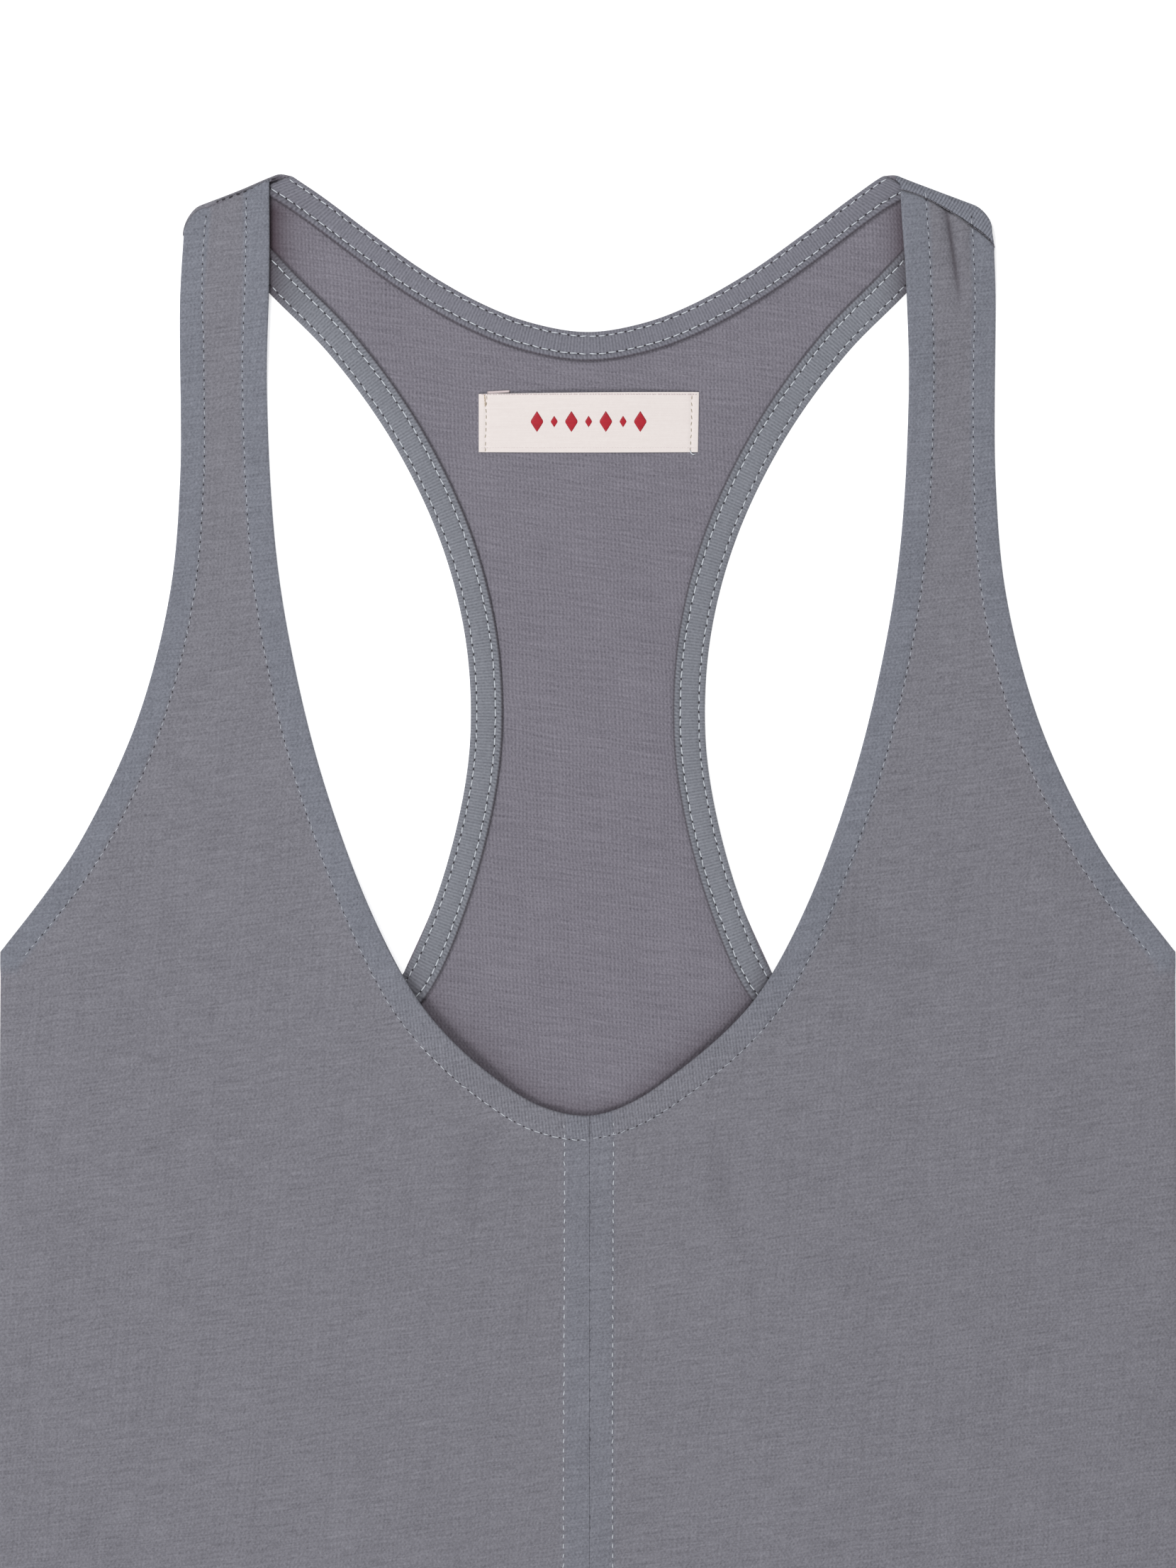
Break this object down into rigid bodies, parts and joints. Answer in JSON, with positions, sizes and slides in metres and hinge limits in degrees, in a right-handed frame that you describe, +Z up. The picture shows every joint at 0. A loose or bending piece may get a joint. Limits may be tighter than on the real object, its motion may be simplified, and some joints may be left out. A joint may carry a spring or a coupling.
{
  "type": "tank top",
  "caption": "Sleeveless racerback tank top in jersey, laid flat with its front up: deep rounded neckline, wide straps, centre-front seam.",
  "frame": {"origin": "on the surface it lies on, under the middle of its outline", "axes": "+X to the right seen from above, +Y from hem to neck, +Z up out of the front"},
  "size_m": [0.376, 0.6006, 0.0056],
  "materials": {
    "jersey": "matte slub single jersey",
    "facing": "matte jersey strip, stitched down",
    "label": "woven satin"
  },
  "bodies": {
    "root": {"back": "jersey", "front_left": "jersey", "front_right": "jersey", "back_neck_facing": "facing", "back_armhole_facing_left": "facing", "back_armhole_facing_right": "facing", "label": "label"}
  },
  "joints": []
}
